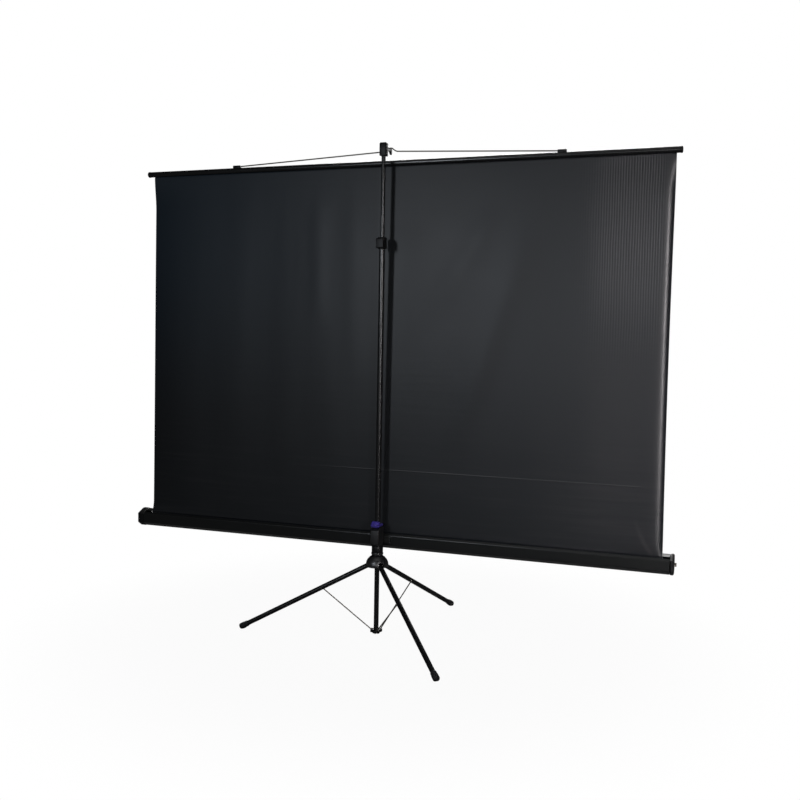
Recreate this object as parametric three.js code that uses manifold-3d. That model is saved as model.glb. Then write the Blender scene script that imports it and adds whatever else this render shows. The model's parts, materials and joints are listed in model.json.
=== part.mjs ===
import * as THREE from 'three';
import { mergeVertices } from 'three/addons/utils/BufferGeometryUtils.js';
import Module from 'manifold-3d';

const wasm = await Module();
wasm.setup();

// Sizes in millimetres, with the mast on the Z axis and the viewing face towards -Y
const MAST_Y = 60;
const CLEAR = 0.3;
const CLOTH_WIDTH = 2112;
const CLOTH_THICK = 0.5;
const BAR_DIA = 22;
const BAR_WALL = 1.5;
const BAR_Z = 1817;
const BAR_Y = -66;
const BAR_OVERHANG = 14;
const BAIL_DIA = 5;
const BAIL_SPREAD = 660;
const BAIL_BELOW_HEAD = 7.7;
const BAIL_KINK_DROP = 13;
const CASE_ABOVE_PIVOT = 89;
const CASE_BACK_Y = -35;
const CASE_DEPTH = 66;
const CASE_HEIGHT = 70;
const CASE_WALL = 1.5;
const CASE_OVERHANG = 28;
const CASE_CAP_LEFT = 28;
const CASE_CAP_RIGHT = 14;
const ROLL_RADIUS = 22;
const ROLLER_DIA = 32;
const OUTER_TUBE_DIA = 22;
const INNER_TUBE_DIA = 16;
const ROD_DIA = 19;
const TUBE_WALL = 1.2;
const OUTER_TUBE_TOP = 1522;
const HEAD_RISE = 65;
const HEAD_WIDTH = 26;
const INNER_TUBE_LENGTH = 1045;
const COLLAR_HEIGHT = 44;
const COLLAR_WIDTH = 29;
const COLLAR_REACH = 31;
const CARRIAGE_WIDTH = 34;
const CARRIAGE_HEIGHT = 72;
const BUTTON_HEIGHT = 23;
const BUTTON_TRAVEL = 4;
const HUB_RADIUS = 44;
const HUB_HEIGHT = 44;
const PIVOT_Z = 278;
const PIVOT_RADIUS = 27;
const LEG_DIA = 18.6;
const FOOT_RADIUS = 531;
const FOOT_DIA = 25;
const FOOT_LENGTH = 36;
const LEG_AZIMUTH = 13.4;
const BRACE_DIA = 4.6;
const BRACE_ALONG = 216;
const BRACE_OFFSET = 3;
const PLATE_TOP = 23;
const PLATE_THICK = 12;
const ANCHOR_RADIUS = 16;
const ANCHOR_SIDE = 6;
const ROD_LENGTH = 510;

const rad = THREE.MathUtils.degToRad;
function paint(color, roughness, metalness) {
  return new THREE.MeshStandardMaterial({ color, roughness, metalness });
}
const gloss = paint(0x101113, 0.22, 0.1);
const satin = paint(0x17181a, 0.5, 0.1);
const plastic = paint(0x141416, 0.38, 0);
const rubber = paint(0x0d0d0e, 0.8, 0);
const steel = paint(0x8d8f92, 0.32, 0.9);
const violet = paint(0x4b45b4, 0.4, 0);
const vinyl = paint(0x2c2f33, 0.6, 0);

const model = new THREE.Group();
const pieces = new THREE.Group();
pieces.position.y = MAST_Y;
model.add(pieces);

function add(name, geometry, material) {
  const mesh = new THREE.Mesh(geometry, material);
  mesh.name = name;
  pieces.add(mesh);
  return mesh;
}

// Solids: each helper returns one closed body
function toManifold(geometry) {
  const bare = new THREE.BufferGeometry();
  bare.setAttribute('position', geometry.getAttribute('position'));
  if (geometry.index) bare.setIndex(geometry.index);
  const welded = mergeVertices(bare, 1e-4);
  return new wasm.Manifold(new wasm.Mesh({
    numProp: 3,
    vertProperties: Float32Array.from(welded.getAttribute('position').array),
    triVerts: Uint32Array.from(welded.index.array),
  }));
}

function fromManifold(solid) {
  const mesh = solid.getMesh();
  const geometry = new THREE.BufferGeometry();
  geometry.setAttribute('position', new THREE.BufferAttribute(mesh.vertProperties, 3));
  geometry.setIndex(new THREE.BufferAttribute(mesh.triVerts, 1));
  return geometry;
}

function cut(base, ...tools) {
  let solid = toManifold(base);
  for (const tool of tools) solid = solid.subtract(toManifold(tool));
  return fromManifold(solid);
}

function join(base, ...others) {
  let solid = toManifold(base);
  for (const other of others) solid = solid.add(toManifold(other));
  return fromManifold(solid);
}

function box(x0, x1, y0, y1, z0, z1) {
  const geometry = new THREE.BoxGeometry(x1 - x0, y1 - y0, z1 - z0);
  return geometry.translate((x0 + x1) / 2, (y0 + y1) / 2, (z0 + z1) / 2);
}

// A turned piece about Z from a closed outline of [radius, z] pairs
function turned(outline, segments = 40) {
  const points = outline.map(([r, z]) => new THREE.Vector2(r, z));
  points.push(points[0].clone());
  return facingOut(new THREE.LatheGeometry(points, segments));
}

// A solid round bar about Z from [radius, z] pairs that start and end on the axis
function turnedSolid(outline, segments = 24) {
  const points = outline.map(([r, z]) => new THREE.Vector2(r, z));
  return facingOut(new THREE.LatheGeometry(points, segments));
}

function facingOut(geometry) {
  const bare = new THREE.BufferGeometry();
  bare.setAttribute('position', geometry.getAttribute('position'));
  bare.setIndex(geometry.index);
  bare.rotateX(Math.PI / 2);
  const welded = dropSlivers(mergeVertices(bare, 1e-4));
  if (volume(welded) < 0) flip(welded);
  return welded;
}

function dropSlivers(geometry) {
  const index = geometry.index.array;
  const kept = [];
  for (let i = 0; i < index.length; i += 3) {
    const [a, b, c] = [index[i], index[i + 1], index[i + 2]];
    if (a !== b && b !== c && a !== c) kept.push(a, b, c);
  }
  geometry.setIndex(kept);
  return geometry;
}

function volume(geometry) {
  const p = geometry.getAttribute('position');
  const index = geometry.index.array;
  const [a, b, c] = [new THREE.Vector3(), new THREE.Vector3(), new THREE.Vector3()];
  let total = 0;
  for (let i = 0; i < index.length; i += 3) {
    a.fromBufferAttribute(p, index[i]);
    b.fromBufferAttribute(p, index[i + 1]);
    c.fromBufferAttribute(p, index[i + 2]);
    total += a.dot(b.cross(c)) / 6;
  }
  return total;
}

function flip(geometry) {
  const index = geometry.index.array;
  for (let i = 0; i < index.length; i += 3) [index[i], index[i + 1]] = [index[i + 1], index[i]];
}

function ring(inner, outer, z0, z1, segments = 32) {
  return turned([[inner, z0], [outer, z0], [outer, z1], [inner, z1]], segments);
}

function rod(radius, z0, z1, segments = 24) {
  return turnedSolid([[0, z0], [radius, z0], [radius, z1], [0, z1]], segments);
}

// An outline pushed along its third axis, with an optional chamfer at both ends
function extrude(outline, length, chamfer) {
  const shape = new THREE.Shape(outline.map(([u, v]) => new THREE.Vector2(u, v)));
  const geometry = new THREE.ExtrudeGeometry(shape, {
    depth: length - 2 * chamfer,
    bevelEnabled: chamfer > 0,
    bevelThickness: chamfer,
    bevelSize: chamfer,
    bevelOffset: -chamfer,
    bevelSegments: 1,
    steps: 1,
  });
  return geometry.translate(0, 0, chamfer);
}

// A prism along X from an outline of [y, z] pairs
function prism(outline, x0, x1, chamfer = 0) {
  const basis = new THREE.Matrix4().makeBasis(
    new THREE.Vector3(0, 1, 0), new THREE.Vector3(0, 0, 1), new THREE.Vector3(1, 0, 0));
  return plain(extrude(outline, x1 - x0, chamfer).applyMatrix4(basis).translate(x0, 0, 0));
}

// A prism along Z from an outline of [x, y] pairs
function slab(outline, z0, z1, chamfer = 0) {
  return plain(extrude(outline, z1 - z0, chamfer).translate(0, 0, z0));
}

function plain(geometry) {
  const bare = new THREE.BufferGeometry();
  bare.setAttribute('position', geometry.getAttribute('position'));
  if (geometry.index) bare.setIndex(geometry.index);
  const welded = dropSlivers(mergeVertices(bare, 1e-4));
  if (volume(welded) < 0) flip(welded);
  return welded;
}

// A round wire along a list of [x, y, z] points
function wire(points, radius, segments = 10, across = new THREE.Vector3(0, 1, 0)) {
  const at = points.map((p) => new THREE.Vector3(...p));
  const rings = [];
  at.forEach((p, i) => {
    const before = at[Math.max(i - 1, 0)];
    const after = at[Math.min(i + 1, at.length - 1)];
    const t0 = p.clone().sub(before).normalize();
    const t1 = after.clone().sub(p).normalize();
    const tangent = t0.clone().add(t1).normalize();
    const side = across.clone().addScaledVector(tangent, -across.dot(tangent)).normalize();
    const up = tangent.clone().cross(side);
    const bend = i > 0 && i < at.length - 1 ? 1 / Math.max(tangent.dot(t1), 0.5) : 1;
    for (let k = 0; k < segments; k += 1) {
      const a = (2 * Math.PI * k) / segments;
      rings.push(p.clone()
        .addScaledVector(side, radius * Math.cos(a))
        .addScaledVector(up, radius * bend * Math.sin(a)));
    }
  });
  const index = [];
  for (let i = 0; i + 1 < at.length; i += 1) {
    for (let k = 0; k < segments; k += 1) {
      const a = i * segments + k;
      const b = i * segments + ((k + 1) % segments);
      index.push(a, b, b + segments, a, b + segments, a + segments);
    }
  }
  const last = (at.length - 1) * segments;
  for (let k = 1; k + 1 < segments; k += 1) {
    index.push(0, k + 1, k);
    index.push(last, last + k, last + k + 1);
  }
  const geometry = new THREE.BufferGeometry().setFromPoints(rings);
  geometry.setIndex(index);
  if (volume(geometry) < 0) flip(geometry);
  return geometry;
}

// Rounded rectangle outline with its corners cut in steps
function rounded(x0, x1, y0, y1, radius, steps = 4) {
  const outline = [];
  const corners = [[x1 - radius, y0 + radius, -90], [x1 - radius, y1 - radius, 0],
    [x0 + radius, y1 - radius, 90], [x0 + radius, y0 + radius, 180]];
  for (const [cx, cy, start] of corners) {
    for (let i = 0; i <= steps; i += 1) {
      const a = rad(start + (90 * i) / steps);
      outline.push([cx + radius * Math.cos(a), cy + radius * Math.sin(a)]);
    }
  }
  return outline;
}

// Turn a piece built about Z so that its axis lies along X or Y
const alongX = (geometry, y, z) => geometry.rotateY(Math.PI / 2).translate(0, y, z);
const alongY = (geometry, x, z) => geometry.rotateX(-Math.PI / 2).translate(x, 0, z);

// Mast tubes
const outerR = OUTER_TUBE_DIA / 2;
const outerBore = outerR - TUBE_WALL;
const innerR = INNER_TUBE_DIA / 2;
const outerBottom = PIVOT_Z + 9;
const headHeight = 49;
const mastTop = BAR_Z + HEAD_RISE;
const headBottom = mastTop - headHeight;
const bailCrest = mastTop - BAIL_BELOW_HEAD;
const caseZ = PIVOT_Z + CASE_ABOVE_PIVOT;
const innerTop = headBottom + 26;
const innerBottom = innerTop - INNER_TUBE_LENGTH;
add('outer_mast_tube', ring(outerBore, outerR, outerBottom, OUTER_TUBE_TOP), gloss);
add('inner_mast_tube', ring(innerR - TUBE_WALL, innerR, innerBottom, innerTop), gloss);
add('mast_guide_bush', ring(innerR + CLEAR, outerBore - CLEAR, innerBottom + 4, innerBottom + 34), plastic);

// Lock collar at the top of the outer tube, with a flip lever that covers its back
const collarTop = OUTER_TUBE_TOP + 8;
const collarBottom = collarTop - COLLAR_HEIGHT;
const collarHalf = COLLAR_WIDTH / 2;
const collarBack = outerR + 3;
const leverPinY = collarBack + 7;
const leverPinZ = collarTop - 10;
const lugHalf = 6;
const lugR = 5.5;
const pinR = 2;
const lug = join(
  alongX(rod(lugR, -lugHalf, lugHalf, 28), leverPinY, leverPinZ),
  box(-lugHalf, lugHalf, collarBack - 3, leverPinY, leverPinZ - lugR, leverPinZ + lugR));
const collar = cut(
  join(
    slab(rounded(-collarHalf, collarHalf, -outerR - 4, collarBack, 6), collarBottom, collarTop, 1.5), lug),
  rod(outerR + CLEAR, collarBottom - 5, OUTER_TUBE_TOP + CLEAR),
  rod(innerR + CLEAR, collarBottom - 5, collarTop + 5),
  alongX(rod(pinR + CLEAR, -collarHalf - 5, collarHalf + 5, 16), leverPinY, leverPinZ));
add('mast_lock_collar', collar, plastic);
add('lever_pin', alongX(rod(pinR, -collarHalf - 0.4, collarHalf + 0.4, 16), leverPinY, leverPinZ), steel);
const leverGap = 0.7;
const leverR = leverPinY - collarBack - leverGap;
const leverOutline = [];
for (let i = 0; i <= 6; i += 1) {
  const a = rad(180 - 15 * i);
  leverOutline.push([leverPinY + leverR * Math.cos(a), leverPinZ + leverR * Math.sin(a)]);
}
leverOutline.push([COLLAR_REACH - 4, leverPinZ + 5], [COLLAR_REACH, leverPinZ + 1]);
leverOutline.push([COLLAR_REACH, collarBottom + 4], [COLLAR_REACH - 2, collarBottom + 1]);
leverOutline.push([collarBack + leverGap, collarBottom + 1]);
const leverWeb = 3.5;
add('mast_lock_lever', cut(prism(leverOutline.reverse(), -collarHalf, collarHalf, 1),
  box(-lugHalf - CLEAR, lugHalf + CLEAR, collarBack - 5, COLLAR_REACH - leverWeb,
    collarBottom - 5, collarTop + 5),
  alongX(rod(pinR + CLEAR, -collarHalf - 5, collarHalf + 5, 16), leverPinY, leverPinZ)), plastic);

// Mast head: a socket block with an arm over the bar, notched for the bail wire and ending in a beak
const wireR = BAIL_DIA / 2;
const notchFloor = bailCrest - wireR - CLEAR;
const notchHalf = wireR + 1.8;
const headHalf = HEAD_WIDTH / 2;
const headOutline = [
  [headHalf, headBottom], [headHalf, mastTop - 5], [headHalf - 4, mastTop],
  [4 - headHalf, mastTop], [-headHalf, mastTop - 4], [-headHalf, headBottom]];
const armOutline = [
  [2 - headHalf, notchFloor - 16], [2 - headHalf, notchFloor + 2.4],
  [BAR_Y + notchHalf + 1.5, notchFloor + 2.4], [BAR_Y + notchHalf, notchFloor],
  [BAR_Y - notchHalf, notchFloor], [BAR_Y - notchHalf - 1.5, notchFloor + 4.5],
  [BAR_Y - notchHalf - 10, notchFloor + 0.5],
  [BAR_Y - notchHalf - 12, notchFloor - 10], [BAR_Y - 13, notchFloor - 20], [BAR_Y - 9, notchFloor - 20],
  [BAR_Y + 2, notchFloor - 10]];
add('mast_head', cut(
  join(prism(headOutline, -headHalf, headHalf, 1.2), prism(armOutline.reverse(), -4, 4, 0.8)),
  rod(innerR + CLEAR, headBottom - 5, innerTop + CLEAR)), plastic);

// Top bar: a slotted tube that grips the hem of the cloth
const barR = BAR_DIA / 2;
const barHalf = CLOTH_WIDTH / 2 + BAR_OVERHANG;
const barInner = barR - BAR_WALL;
const slotHalf = 1.6;
const barOutline = [];
const slotOut = Math.asin(slotHalf / barR);
const slotIn = Math.asin(slotHalf / barInner);
const arcSteps = 32;
for (let i = 0; i <= arcSteps; i += 1) {
  const a = -Math.PI / 2 + slotOut + ((2 * Math.PI - 2 * slotOut) * i) / arcSteps;
  barOutline.push([BAR_Y + barR * Math.cos(a), BAR_Z + barR * Math.sin(a)]);
}
for (let i = arcSteps; i >= 0; i -= 1) {
  const a = -Math.PI / 2 + slotIn + ((2 * Math.PI - 2 * slotIn) * i) / arcSteps;
  barOutline.push([BAR_Y + barInner * Math.cos(a), BAR_Z + barInner * Math.sin(a)]);
}
add('top_bar', prism(barOutline, -barHalf, barHalf), gloss);
for (const [side, name] of [[1, 'left'], [-1, 'right']]) {
  const plug = turnedSolid([
    [0, 2 - BAR_OVERHANG], [barInner - CLEAR, 2 - BAR_OVERHANG], [barInner - CLEAR, CLEAR],
    [barR + 1, CLEAR], [barR + 1, 5], [barR - 1, 7.6], [barR - 5, 8.4], [0, 8.8]], 32);
  plug.rotateY((side * Math.PI) / 2).translate(side * barHalf, BAR_Y, BAR_Z);
  add(`bar_cap_${name}`, plug, plastic);
}

// Bail: a wire hinged in two clips on the bar, kinked up over the hook
const clipLength = 32;
const clipBase = BAR_Z + Math.sqrt(barR ** 2 - 6 ** 2);
const bailZ = BAR_Z + barR + 5;
const clipTop = bailZ + wireR + 2.2;
for (const [side, name] of [[1, 'left'], [-1, 'right']]) {
  const x = side * BAIL_SPREAD;
  const outline = rounded(BAR_Y - 6, BAR_Y + 6, clipBase - 1, clipTop, 3);
  const blank = prism(outline, x - clipLength / 2, x + clipLength / 2, 1);
  const clip = cut(blank,
    alongX(rod(barR + CLEAR, x - clipLength, x + clipLength, 64), BAR_Y, BAR_Z),
    alongX(rod(wireR + CLEAR, x - clipLength, x + clipLength, 20), BAR_Y, bailZ));
  add(`bail_clip_${name}`, clip, plastic);
}
const kinkZ = bailCrest - BAIL_KINK_DROP;
const halfBail = [
  [7, bailCrest], [11, bailCrest - 1.6], [24, kinkZ + 1.6], [30, kinkZ],
  [BAIL_SPREAD - clipLength / 2 - 8, bailZ + 0.6], [BAIL_SPREAD - clipLength / 2, bailZ],
  [BAIL_SPREAD + clipLength / 2 - 3, bailZ]];
const bailPath = [...halfBail].reverse().map(([x, z]) => [-x, BAR_Y, z])
  .concat(halfBail.map(([x, z]) => [x, BAR_Y, z]));
add('bail_wire', wire(bailPath, wireR), steel);

// Case: a rolled steel shell open along its back top, closed by two caps
const caseMidY = CASE_BACK_Y - CASE_DEPTH / 2;
const ky = CASE_DEPTH / 66;
const kz = CASE_HEIGHT / 70;
const onCase = ([y, z]) => [CASE_BACK_Y - y * ky, caseZ + z * kz];
const shellOutline = [
  [6, 25], [0, 19], [0, -20], [23, -35], [49, -35], [61, -25], [66, -12], [66, 12], [62, 25], [51, 34],
  [37, 34.5], [19, 29.5]].map(onCase);
const capOutline = [
  [0, 19], [0, -20], [23, -35], [49, -35], [61, -25], [66, -12], [66, 12], [62, 25], [51, 34.5],
  [36, 35]].map(onCase);

function inset(outline, wall) {
  return outline.map((p, i) => {
    const a = outline[Math.max(i - 1, 0)];
    const b = outline[Math.min(i + 1, outline.length - 1)];
    const before = new THREE.Vector2(p[0] - a[0], p[1] - a[1]);
    const after = new THREE.Vector2(b[0] - p[0], b[1] - p[1]);
    if (before.length() === 0) before.copy(after);
    if (after.length() === 0) after.copy(before);
    const n0 = new THREE.Vector2(before.y, -before.x).normalize();
    const n1 = new THREE.Vector2(after.y, -after.x).normalize();
    const mid = n0.clone().add(n1).normalize();
    const reach = wall / mid.dot(n1);
    return [p[0] + mid.x * reach, p[1] + mid.y * reach];
  });
}

function grow(outline, size) {
  const area = outline.reduce((sum, p, i) => {
    const q = outline[(i + 1) % outline.length];
    return sum + p[0] * q[1] - q[0] * p[1];
  }, 0);
  const sign = area > 0 ? 1 : -1;
  return outline.map((p, i) => {
    const a = outline[(i + outline.length - 1) % outline.length];
    const b = outline[(i + 1) % outline.length];
    const n0 = new THREE.Vector2(p[1] - a[1], a[0] - p[0]).normalize();
    const n1 = new THREE.Vector2(b[1] - p[1], p[0] - b[0]).normalize();
    const mid = n0.add(n1).normalize();
    const reach = (sign * size) / mid.dot(n1);
    return [p[0] + mid.x * reach, p[1] + mid.y * reach];
  });
}

const capInner = CLOTH_WIDTH / 2 + CASE_OVERHANG;
const leftEnd = capInner + CASE_CAP_LEFT;
const rightEnd = -capInner - CASE_CAP_RIGHT;
const shellHalf = capInner - CLEAR;
let wall = inset(shellOutline, CASE_WALL);
const insideTest = (p) => Math.abs(p[0] - caseMidY) < CASE_DEPTH / 2;
if (!wall.slice(3, 8).every(insideTest)) wall = inset(shellOutline, -CASE_WALL);
add('case_shell', prism([...shellOutline, ...wall.reverse()], -shellHalf, shellHalf), satin);

// Roller inside the case, with the pack of cloth that is still wound on it
const rollY = CASE_BACK_Y - ky * 35;
const rollerR = ROLLER_DIA / 2;
const rollerHalf = CLOTH_WIDTH / 2 + 10;
add('roller_tube', alongX(ring(rollerR - 1.2, rollerR, -rollerHalf, rollerHalf, 28), rollY, caseZ), steel);
add('wound_cloth', alongX(
  ring(rollerR + CLEAR, ROLL_RADIUS, -CLOTH_WIDTH / 2, CLOTH_WIDTH / 2, 32), rollY, caseZ), vinyl);
const plugR = rollerR - 1.2 - CLEAR;
add('roller_plug_left', turnedSolid([
  [0, -24], [plugR, -24], [plugR, 2], [9, 2], [9, 12], [4, 12], [4, 26], [0, 26]])
  .rotateY(Math.PI / 2).translate(rollerHalf, rollY, caseZ), plastic);
add('roller_plug_right', turned([
  [5 + CLEAR, -24], [plugR, -24], [plugR, 2], [9, 2], [9, 12], [5 + CLEAR, 12]], 24)
  .rotateY(-Math.PI / 2).translate(-rollerHalf, rollY, caseZ), plastic);
const spadeReach = capInner + CASE_CAP_RIGHT - rollerHalf + 8;
const spade = join(
  rod(5, -20, capInner - rollerHalf + 2, 20),
  box(-6.5, 6.5, -2.2, 2.2, capInner - rollerHalf, spadeReach));
add('spring_pin', spade.rotateY(-Math.PI / 2).translate(-rollerHalf, rollY, caseZ), steel);
const capBlank = (x0, x1) => prism(grow(capOutline, 1), x0, x1, 3);
const pinHole = alongX(rod(4 + CLEAR, rollerHalf, rollerHalf + 30, 20), rollY, caseZ);
add('case_cap_left', cut(capBlank(capInner, leftEnd), pinHole), plastic);
const spadeSlot = box(rightEnd - 5, 5 - capInner,
  rollY - 2.2 - CLEAR, rollY + 2.2 + CLEAR, caseZ - 6.5 - CLEAR, caseZ + 6.5 + CLEAR);
const spadeBore = alongX(rod(5 + CLEAR, -capInner - 2 - 2 * CLEAR, 5 - capInner, 20), rollY, caseZ);
add('case_cap_right', cut(capBlank(rightEnd, -capInner), spadeSlot, spadeBore), plastic);

// Cloth, from the back of the roll straight up into the slot of the bar
const clothFoot = rollY + ROLL_RADIUS + CLEAR;
const clothHead = BAR_Z - barInner + 4;
add('screen_cloth', prism([
  [clothFoot, caseZ + 1], [clothFoot + CLOTH_THICK, caseZ + 1],
  [BAR_Y + CLOTH_THICK / 2, clothHead], [BAR_Y - CLOTH_THICK / 2, clothHead]],
-CLOTH_WIDTH / 2, CLOTH_WIDTH / 2), vinyl);

// Pivot bracket riveted on the back of the case
const pivotZ = caseZ + 1;
const plateY = CASE_BACK_Y + CLEAR;
const bracketHalf = 47;
const bossR = 14;
const bossEnd = plateY + 9;
const plate = prism(rounded(plateY, plateY + 3, pivotZ - 16, pivotZ + 16, 1), -bracketHalf, bracketHalf);
const boss = alongY(rod(bossR, plateY + 1, bossEnd, 32), 0, pivotZ);
const rivetAt = [[-39, -10], [39, -10], [-39, 10], [39, 10]];
const rivetHoles = rivetAt.map(([x, z]) => alongY(rod(2.1, plateY - 5, plateY + 8, 16), x, pivotZ + z));
add('case_bracket', cut(join(plate, boss),
  alongY(rod(4 + CLEAR, plateY - 5, bossEnd + 5, 24), 0, pivotZ), ...rivetHoles), satin);
rivetAt.forEach(([x, z], i) => {
  const face = plateY + 3 + 0.1;
  const rivet = turnedSolid([
    [0, plateY + 0.1], [1.9, plateY + 0.1], [1.9, face], [3.4, face], [3, face + 1.2], [1.6, face + 1.9],
    [0, face + 2.1]], 16);
  add(`bracket_rivet_${i + 1}`, alongY(rivet, x, pivotZ + z), steel);
});

// Carriage that carries the case on the outer tube
const neckTop = PIVOT_Z + 49;
const sleeveBottom = neckTop + CLEAR;
const bodyBottom = pivotZ - 14.7;
const bodyTop = bodyBottom + CARRIAGE_HEIGHT;
const bodyFront = bossEnd + 4;
const bodyBack = outerR + 25;
const carriageHalf = CARRIAGE_WIDTH / 2;
const bushR = outerR + CLEAR + 2.1;
add('carriage_bush', turned([
  [outerR + CLEAR, sleeveBottom], [carriageHalf + 4, sleeveBottom], [carriageHalf + 5, sleeveBottom + 2],
  [carriageHalf + 5, bodyBottom - 4], [carriageHalf + 3, bodyBottom - CLEAR], [bushR, bodyBottom - CLEAR],
  [bushR, bodyTop - 1], [outerR + CLEAR, bodyTop - 1]]), plastic);
const bodyOutline = [
  [bodyFront, bodyBottom], [bodyFront, bodyTop], [bodyBack - 16, bodyTop], [bodyBack, bodyTop - 12],
  [bodyBack, bodyBottom + 9], [bodyBack - 8, bodyBottom]];
add('carriage_body', cut(prism(bodyOutline.reverse(), -carriageHalf, carriageHalf, 3),
  rod(bushR + CLEAR, bodyBottom - 5, bodyTop + 5, 32),
  alongY(rod(4 + CLEAR, bodyFront - 5, -bushR - 1, 24), 0, pivotZ)), plastic);
const washer = ring(4 + CLEAR, bossR - 1, bossEnd + CLEAR, bodyFront - CLEAR);
add('pivot_washer', alongY(washer, 0, pivotZ), steel);
add('case_pivot_pin', alongY(rod(4, plateY + 1, -bushR - 1.6, 24), 0, pivotZ), steel);

// Release button: a collar with a thumb pad, pressed towards the mast
const buttonHalf = carriageHalf - 0.5;
const buttonBottom = bodyTop + CLEAR;
const buttonTop = buttonBottom + BUTTON_HEIGHT;
const holeR = outerR + 1.2;
const buttonProfile = [
  [-outerR - 6, buttonBottom], [-outerR - 6, buttonTop - 12], [outerR, buttonTop - 9],
  [outerR + 6, buttonTop], [outerR + 12, buttonTop], [bodyBack + 1, buttonTop - 12],
  [bodyBack + 1, buttonBottom + 5], [bodyBack - 4, buttonBottom]];
const stadium = slab(
  rounded(-holeR, holeR, -holeR, holeR + BUTTON_TRAVEL, holeR - 0.01, 8), buttonBottom - 5, buttonTop + 5);
add('release_button', cut(prism(buttonProfile.reverse(), -buttonHalf, buttonHalf, 4), stadium), violet);

// Hub: a solid dome with three slots for the legs, and a neck ring under the carriage
const hubTop = PIVOT_Z + 37;
const hubBottom = hubTop - HUB_HEIGHT;
const legR = LEG_DIA / 2;
const rodR = ROD_DIA / 2;
let dome = turned([
  [rodR + CLEAR, hubBottom], [HUB_RADIUS - 1, hubBottom], [HUB_RADIUS, hubBottom + 2],
  [HUB_RADIUS, hubBottom + 9], [HUB_RADIUS - 2, hubBottom + 19], [HUB_RADIUS - 7, hubBottom + 28],
  [HUB_RADIUS - 14, hubBottom + 36],
  [HUB_RADIUS - 21, hubBottom + 41], [HUB_RADIUS - 26, hubTop], [outerR + CLEAR, hubTop],
  [outerR + CLEAR, outerBottom - CLEAR], [rodR + CLEAR, outerBottom - CLEAR]], 60);
add('hub_neck_ring', turned([
  [outerR + CLEAR, hubTop + CLEAR], [HUB_RADIUS - 22.8, hubTop + CLEAR], [HUB_RADIUS - 20.8, hubTop + 3],
  [HUB_RADIUS - 20.8, neckTop - 2], [HUB_RADIUS - 22.8, neckTop], [outerR + CLEAR, neckTop]]), plastic);

// Legs, each with a foot and a brace wire to the plate on the sliding rod
const footAxisZ = FOOT_DIA / 2 - 3;
const drop = PIVOT_Z - footAxisZ;
const reach = FOOT_RADIUS - PIVOT_RADIUS;
const legLength = Math.hypot(drop, reach);
const slope = Math.atan2(drop, reach);
const legEnd = legLength - 6;
const footStart = legEnd - FOOT_LENGTH + 16;
const braceR = BRACE_DIA / 2;
const hookFlank = legR + braceR + CLEAR;
const hookTip = legR + 3;
const anchorZ = PLATE_TOP - PLATE_THICK / 2;

function onLeg(geometry, azimuth) {
  return geometry.rotateY(slope).translate(PIVOT_RADIUS, 0, PIVOT_Z).rotateZ(azimuth);
}
const lying = (geometry) => geometry.rotateY(Math.PI / 2);
const across = (geometry) => geometry.rotateX(Math.PI / 2);

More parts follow.
